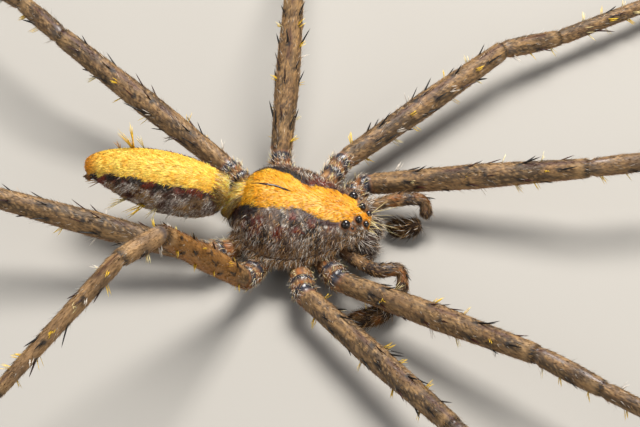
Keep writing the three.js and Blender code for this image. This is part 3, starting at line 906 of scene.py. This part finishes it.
leg = {
    "girths": {                    # radius at a segment's start, middle and end
        "coxa": (0.72, 0.94, 0.92), "femur": (0.88, 1.08, 0.84), "patella": (0.78, 0.84, 0.72),
        "tibia": (0.7, 0.64, 0.55), "metatarsus": (0.48, 0.42, 0.36), "tarsus": (0.36, 0.38, 0.3),
    },
    "tarsusLengths": {"1": 6.5, "2": 6.3, "3": 5, "4": 6},
    "hipSwellings": [              # distance from the hip's last joint, width and share of the radius
        (-1.9, 0.25, -0.1), (-1.3, 0.35, 0.1), (-0.72, 0.2, -0.12), (0.0, 0.4, 0.16), (0.62, 0.18, -0.1),
    ],
    "hipStep": 0.11, "step": 0.2,  # between rings
    "endRadius": 0.2, "toeHeight": 0.34, "clawReach": 0.45,
    "sternumMiddle": (4.4, 0, 2.0),
    "clawLine": [(0, 0), (0.28, 0.06), (0.5, -0.04), (0.6, -0.22)],      # ahead of the toe and above it
    "clawRadii": [0.1, 0.08, 0.05, 0.03], "clawGrid": (14, 8), "clawSpread": 0.12,
    "turns": 40, "skinShade": 0.85,
    "tufts": 15500, "fuzz": 1500, "hipHair": 620,
    "spines": {                    # places along the segment, angles from its top in degrees, length
        "femur": [((0.24, 0.47, 0.7), (8, 82, -82), 1.5), ((0.19, 0.55, 0.88), (46, -46), 1.25),
                  ((0.36, 0.8), (114, -114), 0.8)],
        "patella": [((0.55,), (95, -95), 1.2)],
        "tibia": [((0.2, 0.46, 0.72), (105, -105), 1.7), ((0.3, 0.62), (40, -40), 1.1)],
        "metatarsus": [((0.12, 0.42), (100, -100), 1.5), ((0.28,), (60, -60), 1.0)],
    },
    "bunches": {                   # of pale upright hair: the gap along the segment and the angles
        "femur": (0.17, (124, -124, 52, -52)), "patella": (0.34, (122, -122)),
        "tibia": (0.15, (128, -128, 50, -50)), "metatarsus": (0.2, (120, -120)),
    },
    "hairsInBunch": 6,
}
legKinds = list(leg["girths"])
legNodes = ("coxa", "femur", "patella", "tibia", "foot")
spineSpots = [(kind, share, angle, length) for kind, rows in leg["spines"].items()
              for shares, angles, length in rows for share in shares for angle in angles]


def axisOf(node, near):
    # the two ends of a limb's solid, its far end last
    points = fromFrame([v.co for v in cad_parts[node].data.vertices])
    points = np.unique(points.round(4), axis=0)
    gaps = np.linalg.norm(points[:, None] - points[None], axis=-1)
    a, b = np.unravel_index(gaps.argmax(), gaps.shape)
    ends = points[[a, b]]
    return ends if np.linalg.norm(ends[0] - near) < np.linalg.norm(ends[1] - near) else ends[::-1]


def legJoints(tag):
    near = np.array(leg["sternumMiddle"])
    ends = {}
    for kind in legNodes:
        ends[kind] = axisOf(f"{kind}_{tag}", near)
        near = ends[kind][1]
    joints = [ends["coxa"][0]]
    for inner, outer in zip(legNodes, legNodes[1:]):
        joints.append((ends[inner][1] + ends[outer][0]) / 2)
    toe = ends["foot"][1]
    heading = unit((toe - joints[-1]) * np.array([1, 1, 0]))
    toe = toe - heading * leg["clawReach"]
    toe[2] = leg["toeHeight"]
    heel = toe - heading * leg["tarsusLengths"][tag[1]]
    return np.array([*joints, heel, toe])


def legRadius(kind, step, length):
    # the segment's girth, drawn in at its joints and swollen at the hip
    radius = np.interp(step / length, (0, 0.5, 1), leg["girths"][kind])
    if kind != "coxa":
        radius *= 1 - 0.16 * bump(step, 0, 0.3)
    if kind != "tarsus":
        radius *= 1 - 0.12 * bump(length - step, 0, 0.25)
    fromHip = {"coxa": step - length, "femur": step}.get(kind, 9)
    return radius * (1 + sum(swell * bump(fromHip, at, wide) for at, wide, swell in leg["hipSwellings"]))


def legRings(tag):
    joints = legJoints(tag)
    directions = unit(np.diff(joints, axis=0))
    last = len(legKinds) - 1
    path, ways, radii, marks = [], [], [], []
    for i, kind in enumerate(legKinds):
        length = np.linalg.norm(joints[i + 1] - joints[i])
        before, way, after = directions[max(i - 1, 0)], directions[i], directions[min(i + 1, last)]
        for step in np.arange(0, length - 0.05, leg["hipStep"] if kind == "coxa" else leg["step"]):
            radius = legRadius(kind, step, length)
            bend = radius * 1.3    # how far a joint turns the rings beside it
            nearStart, nearEnd = 1 - smooth(0, bend, step), 1 - smooth(0, bend, length - step)
            path.append(joints[i] + way * step)
            ways.append(way + before * nearStart + after * nearEnd)
            radii.append(radius)
            marks.append((i, step, length))
    path.append(joints[-1])
    ways.append(directions[-1])
    radii.append(leg["endRadius"])
    marks.append((last, length, length))
    radii[0] = leg["endRadius"]
    rings = tubeRings(np.array(path), unit(ways), np.array(radii), leg["turns"])
    rings[..., 2] = np.maximum(rings[..., 2], 0.0)
    return rings, np.array(marks)


def legPaint(marks, angles, rng, tag):
    # marks: the segment's number, the distance from its start and its length
    kind, step, length = marks.T
    over, beside = np.cos(angles), np.sin(angles)
    fromEnd = length - step
    shift = kind * 7.7 + ord(tag[0]) + int(tag[1]) * 3.1

    def grain(stretch, around, seed):
        return cloud(np.stack([step / stretch + shift, over * around, beside * around], 1), 1, seed)

    streak, broad, fleck = grain(1.7, 4.8, 31), grain(2.6, 1.2, 32), grain(1.0, 5.6, 33)
    chance = rng.random(len(marks))
    color = mix("khaki", "straw", smooth(0.35, 0.75, streak) * 0.7)
    color = mix(color, "olive", smooth(0.42, 0.62, broad) * smooth(-0.4, 0.4, over) * 0.8)
    color = mix(color, "olive", smooth(0.56, 0.72, fleck) * 0.4)
    color = mix(color, "umber", (chance < 0.18) * 0.75)
    color = mix(color, "straw", (chance > 0.86) * 0.85)
    color = mix(color, "rust", smooth(0.1, 0.8, -over) * 0.55)
    color = mix(color, "umber", (kind > 3.5) * 0.35)
    if tag == "r3":
        color = mix(color, palette["rust"] * [1, 1.22, 0.9], (kind == 1) * smooth(1.5, 3.5, step) * 0.6)
    if tag[1] == "3":
        color = mix(color, "tan", ((kind == 2) | (kind == 3)) * 0.45)
    # a pale band and then a black line before each knee, and dark bands further out
    knee = (kind > 0) & (kind < 4)
    color = mix(color, "straw", bump(fromEnd, 0.85, 0.4) * knee * 0.7)
    color = mix(color, "black", bump(fromEnd, 0.2, 0.27) * knee * 0.95)
    bands = bump(fromEnd, 2.6, 0.7) + bump(step, 2.2, 0.6) * (kind == 3)
    color = mix(color, "umber", bands * (kind > 1) * 0.45)
    # a broken dark red line along the top, shiny on the patella and tibia
    line = bump(np.arctan2(beside, over), 0, 0.2) * smooth(0.45, 0.6, grain(2.6, 0.1, 34))
    line = line * np.where(kind == 1, smooth(5, 8, step), (kind == 2) | (kind == 3))
    color = mix(color, "redDark", line * 0.8)
    gloss = line * (kind > 1) * 0.8
    blueKnee = bump(step, 0.35, 0.4) * (kind == 2) * smooth(-0.2, 0.4, over)
    blueKnee = blueKnee * (0.8 if tag[1] == "3" else 0.25)
    color = mix(color, palette["slate"] * 1.8, blueKnee)
    gloss = np.maximum(gloss, blueKnee)
    for name, share, angle, _ in spineSpots:
        away = (angles - math.radians(angle) + math.pi) % fullTurn - math.pi
        gap = np.hypot(step - share * length + 0.1, away * leg["girths"][name][1])
        color = mix(color, "black", smooth(0.34, 0.2, gap) * (kind == legKinds.index(name)) * 0.9)
    # hip plates: dark shiny crescents over the upper side, with orange skin between them
    fromHip = np.where(kind == 0, step - length, np.where(kind == 1, step, 9))
    bent = fromHip + (1 - over) * 0.22 + (streak - 0.5) * 0.25
    plates = np.maximum(bump(bent, -1.3, 0.38, 4), bump(bent, 0.1, 0.5, 4)) * smooth(-0.45, 0.05, over)
    nearHip = (fromHip < 0.75) * smooth(-3.4, -2.2, fromHip)
    skinTone = mix("rust", "tan", smooth(0.45, 0.7, fleck) * 0.7)
    color = mix(color, mix(skinTone, "umber", smooth(0.45, 0.7, streak) * 0.65), nearHip * 0.9)
    # darker umber towards the body: painted shade where the coxa lies under the carapace and between the legs
    color = mix(color, "umber", (kind == 0) * smooth(-2.2, -3.2, fromHip) * 0.8)
    color = mix(color, palette["slate"] * 1.5, plates)
    return color, np.maximum(gloss, plates * (fromHip < 0.9))


def placeOn(rings, marks, kind, share, angle):
    # the ring and turn nearest to a place along a segment and an angle round it
    own = np.flatnonzero(marks[:, 0] == legKinds.index(kind))
    ring = own[np.abs(marks[own, 1] - share * marks[own, 2]).argmin()]
    return ring, round(angle / 360 * rings.shape[1])


def growSpines(tag, rings, marks):
    places = [placeOn(rings, marks, kind, share, angle) for kind, share, angle, _ in spineSpots]
    roots = rootsAt(rings, *zip(*places), 60 + int(tag[1]), 0.04)
    colors = tintsFrom(roots["rng"], len(places), ["black", "black", "redDark"]) * 0.7
    lengths = np.array([length for *_, length in spineSpots])
    growTufts(f"legSpines_{tag}", roots, roots["along"], colors, "leg_hair", shape="spine", length=lengths,
              width=0.17, lift=19, liftSpread=6, stray=8, curl=0.04, flat=1, tip=0.9, finish=bristleFinish)


def growBunches(tag, rings, marks):
    rng = np.random.default_rng(70 + int(tag[1]) + (tag[0] == "l") * 10)
    places, names = [], []
    for kind, (gap, angles) in leg["bunches"].items():
        for angle in angles:
            for share in np.arange(0.12, 0.95, gap):
                if rng.random() < (0.85 if abs(angle) > 90 else 0.6):
                    count = rng.integers(2, leg["hairsInBunch"] + 1)
                    spot = placeOn(rings, marks, kind, share + rng.normal(0, 0.03), angle + rng.normal(0, 8))
                    places += [spot] * count
                    names += [["yellow", "cream", "white"][rng.choice(3, p=[0.5, 0.32, 0.18])]] * count
    roots = rootsAt(rings, *zip(*places), 80 + int(tag[1]), 0.1)
    colors = np.array([palette[name] for name in names])
    growTufts(f"legBunches_{tag}", roots, roots["along"], colors, "leg_hair", shape="long", length=0.85,
              width=0.08, lift=62, liftSpread=8, curl=-0.03, flat=0.9, tip=1.1, finish=bristleFinish)


def growLegFur(tag, rings, marks, seed):
    roots = rootsOn(rings, leg["tufts"], seed)
    low = np.floor(roots["share"] * (len(rings) - 1)).astype(int)
    rootMarks = marks[np.minimum(low, len(rings) - 1)]
    colors, gloss = legPaint(rootMarks, roots["turn"] * fullTurn, roots["rng"], tag)
    bare = 0.35                    # plates shinier than this grow no hair
    keep = gloss < bare
    lengths = 0.55 * np.where(rootMarks[keep, 0] == 0, 0.6, 1.0)
    roots = pick(roots, keep)
    growTufts(f"legFur_{tag}", roots, roots["along"], colors[keep], "leg_hair", length=lengths, lift=9,
              stray=9, curl=-0.05, tip=1.2, shades=(0.35, 1.65))


def makeLeg(tag):
    rings, marks = legRings(tag)
    count, turns = rings.shape[:2]
    far = 10 * (tag[0] == "l")     # keeps the two sides' hair apart
    pair = int(tag[1])
    hipEnd = int(np.sum((marks[:, 0] == 0) | ((marks[:, 0] == 1) & (marks[:, 1] < 0.4))))
    angles = np.tile(np.linspace(0, fullTurn, turns, endpoint=False), count)
    colors, gloss = legPaint(np.repeat(marks, turns, axis=0), angles, np.random.default_rng(40), tag)
    nodes = [f"{kind}_{tag}" for kind in legNodes]
    makeSkin(f"legSkin_{tag}", rings, colors * leg["skinShade"], gloss, nodes)
    growLegFur(tag, rings, marks, 50 + pair + far)
    furOver(f"legFuzz_{tag}", rings[hipEnd:], leg["fuzz"], 110 + pair + far,
            ["tan", "white", "straw", "umber", "black"], "leg_hair", length=0.7, width=0.035, lift=32,
            liftSpread=12, stray=15, tip=1.2, tile=(0.06, 1))
    furOver(f"hipHair_{tag}", rings[:hipEnd], leg["hipHair"], 90 + pair,
            ["white", "tan", "cream", "white", "umber", "tan"], "joint_skin", shape="blade", length=0.8,
            width=0.05, lift=26, liftSpread=12, stray=28, curl=-0.25, tip=1.3)
    growSpines(tag, rings, marks)
    growBunches(tag, rings, marks)
    growClaws(tag, rings)


def growClaws(tag, rings):
    # two curved claws under the tip of the foot
    tip = rings[-3].mean(0)
    way = unit((rings[-2].mean(0) - rings[-8].mean(0)) * np.array([1, 1, 0]))
    across = np.array([-way[1], way[0], 0])
    for name, side in sides.items():
        start = tip + across * side * leg["clawSpread"]
        points = [start + way * ahead + [0, 0, rise] for ahead, rise in leg["clawLine"]]
        claw = curveRings(points, leg["clawRadii"], *leg["clawGrid"])
        claw[..., 2] = np.maximum(claw[..., 2], 0.02)
        makeSkin(f"claw_{tag}_{name}", claw, palette["black"], 1, finish=shellFinish)


for side in sides:
    for pair in "1234":
        makeLeg(side + pair)
print("legs ready")


# Face: chelicerae, fangs and bristles

face = {
    "line": [(10.8, 1.08, 3.4), (11.6, 1.1, 2.5), (11.5, 1.08, 0.65)],
    "radii": [0.7, 0.86, 0.84, 0.56],
    "tufts": 2600, "longTufts": 380,
    "fang": [(11.45, 0.98, 0.95), (11.2, 0.85, 0.62), (10.75, 0.62, 0.5), (10.45, 0.5, 0.42)],
    "fangRadii": [0.22, 0.18, 0.11, 0.04],
    "grid": (60, 40), "fangGrid": (26, 14),
}
faceBristles = [row for side in (-1, 1) for row in [
    ((11.3, side * 0.15, 4.55), (1, side * 0.25, 0.2), 2.9, 5, "cream"),
    ((10.3, side * 0.4, 5.4), (0.7, side * 0.3, 1), 1.2, 3, "cream"),
    ((11.35, side * 1.0, 4.1), (1, side * 0.35, -0.2), 1.5, 5, "white"),
    ((10.9, side * 1.9, 4.2), (1, side * 0.8, -0.2), 1.1, 6, "white"),
    ((10.4, side * 2.2, 4.2), (0.7, side * 1, -0.3), 0.9, 7, "tan"),
    ((9.7, side * 2.7, 4.3), (0.4, side * 1, -0.2), 0.8, 7, "tan"),
    ((11.4, side * 0.4, 4.0), (1, side * 0.2, -0.4), 1.1, 6, "cream"),
    ((11.1, side * 1.4, 3.9), (1, side * 0.4, -0.6), 1.0, 7, "grey"),
]]


def makeChelicera(name, side):
    rings = curveRings([(x, side * y, z) for x, y, z in face["line"]], face["radii"], *face["grid"])
    colors = mix(palette["umber"] * 0.7, "redDark", cloud(rings.reshape(-1, 3), 0.7, 41) * 0.5)
    makeSkin(f"cheliceraSkin_{name}", rings, colors, 0.6, [f"chelicera_{name}"])
    furOver(f"cheliceraFur_{name}", rings, face["tufts"], 42, ["umber", "greyBrown", "grey", "umber"],
            "face_hair", width=0.055, liftSpread=8, stray=16)
    furOver(f"cheliceraLongFur_{name}", rings, face["longTufts"], 43, ["white", "grey", "white", "tan"],
            "face_hair", lean=(0.4, 0, 0), weight=lambda p: (p[:, 0] > 10.9) * 1.0, shape="blade",
            length=0.95, width=0.04, lift=34, liftSpread=12, stray=20, curl=-0.3, tip=1.2)
    fang = curveRings([(x, side * y, z) for x, y, z in face["fang"]], face["fangRadii"], *face["fangGrid"])
    colors = mix("redDark", "black", np.linspace(0, 1, len(fang)))
    makeSkin(f"fang_{name}", fang, colors[:, None], 1, finish=shellFinish)


for name, side in sides.items():
    makeChelicera(name, side)
growPencils("faceBristles", carapaceRings, faceBristles, "face_hair", 44, 0.045, 0.16, 0.22)
print("face ready")


# Palps

palps = {
    "r": {"arm": [(8.35, -1.1, 2.3), (10, -2.4, 2.55), (12.9, -4.5, 3.4), (15, -4.1, 3.3), (15.5, -5.6, 2.2)],
          "tarsus": [(15.3, -6.2, 1.7), (13.6, -7.5, 1.1), (11.5, -8.5, 1)]},
    "l": {"arm": [(8.35, 1.1, 2.3), (10, 2.4, 2.55), (12.8, 3.6, 3.4), (15.3, 4.3, 3.3), (16, 3.4, 2.2)],
          "tarsus": [(15.6, 3, 1.6), (14.3, 2.8, 1.1), (12.8, 2.7, 1)]},
    "parts": {                     # radii, tufts, length of fur, seed
        "arm": ([0.34, 0.42, 0.46, 0.54, 0.48, 0.6, 0.56, 0.46, 0.56], 3400, 0.45, 53),
        "tarsus": ([0.5, 0.64, 0.74, 0.66, 0.42], 3600, 0.62, 54),
    },
    "longShare": 0.08,             # of the tufts that are long ones
    "spineRings": [24, 26, 40, 42, 52], "spineTurns": [0, 5, 1, 27, 3],
    "grid": (70, 32), "skinShade": 0.85, "skinGloss": 0.35,
}


def palpColors(points, base, rng):
    away = np.linalg.norm(points - base, axis=1)
    patches, fine = cloud(points, 0.9, 51), cloud(points, 0.3, 52)
    color = mix(palette["umber"] * 1.3, "black", smooth(0.4, 0.7, fine) * 0.6)
    rusty = mix("rust", "khaki", smooth(0.3, 0.6, fine))
    color = mix(color, rusty, smooth(0.56, 0.64, patches) * 0.75)
    color = mix(color, "straw", (rng.random(len(points)) > 0.8) * 0.8)
    color = mix(color, "greyBrown", smooth(3.8, 2.8, away) * 0.5)
    return mix(color, "tan", smooth(3.2, 4.0, away) * smooth(5.3, 4.6, away) * (fine < 0.6) * 0.45)


def makePalp(name):
    base = np.array(palps[name]["arm"][0])
    for part, (radii, tufts, furLength, seed) in palps["parts"].items():
        rings = curveRings(palps[name][part], radii, *palps["grid"])
        colors = palpColors(rings.reshape(-1, 3), base, np.random.default_rng(seed)) * palps["skinShade"]
        makeSkin(f"palpSkin_{part}_{name}", rings, colors, palps["skinGloss"],
                 [f"palp_{part}_{name}"])
        roots = rootsOn(rings, tufts, seed)
        colors = palpColors(roots["place"], base, roots["rng"])
        growTufts(f"palpFur_{part}_{name}", roots, roots["along"], colors, "palp_hair", length=furLength,
                  width=0.065, lift=18, liftSpread=9, stray=18, shades=(0.3, 1.7))
        furOver(f"palpLongFur_{part}_{name}", rings, tufts * palps["longShare"], seed + 10,
                ["tan", "khaki", "umber", "white", "black"], "palp_hair", shape="blade",
                length=furLength * 1.8, width=0.04, lift=38, liftSpread=12, stray=18, curl=-0.2)
    rings = curveRings(palps[name]["arm"], palps["parts"]["arm"][0], *palps["grid"])
    roots = rootsAt(rings, palps["spineRings"], palps["spineTurns"], 55)
    colors = np.tile(palette["black"], (len(roots["place"]), 1))
    growTufts(f"palpSpines_{name}", roots, roots["along"], colors, "palp_hair", shape="spine", length=1.1,
              width=0.13, lift=40, flat=1, tip=0.9, finish=bristleFinish)


for name in "rl":
    makePalp(name)
print("palps ready")


# Eyes

lens = {"around": 32, "upward": 20, "proud": 1.02}      # proud: radius as a share of the solid's


def makeEye(kind, side):
    node = f"eye_{kind}_{side}"
    middle, radius = boxOf(node)
    bm = bmesh.new()
    bmesh.ops.create_uvsphere(bm, u_segments=lens["around"], v_segments=lens["upward"],
                              radius=radius * lens["proud"])
    bmesh.ops.translate(bm, verts=bm.verts, vec=middle)
    for face in bm.faces:
        face.smooth = True
    mesh = bpy.data.meshes.new(node)
    bm.to_mesh(mesh)
    bm.free()
    makeObject(f"lens_{kind}_{side}", mesh, lensFinish, [node])


for side in sides:
    for kind in eyeKinds:
        makeEye(kind, side)
print("eyes ready")
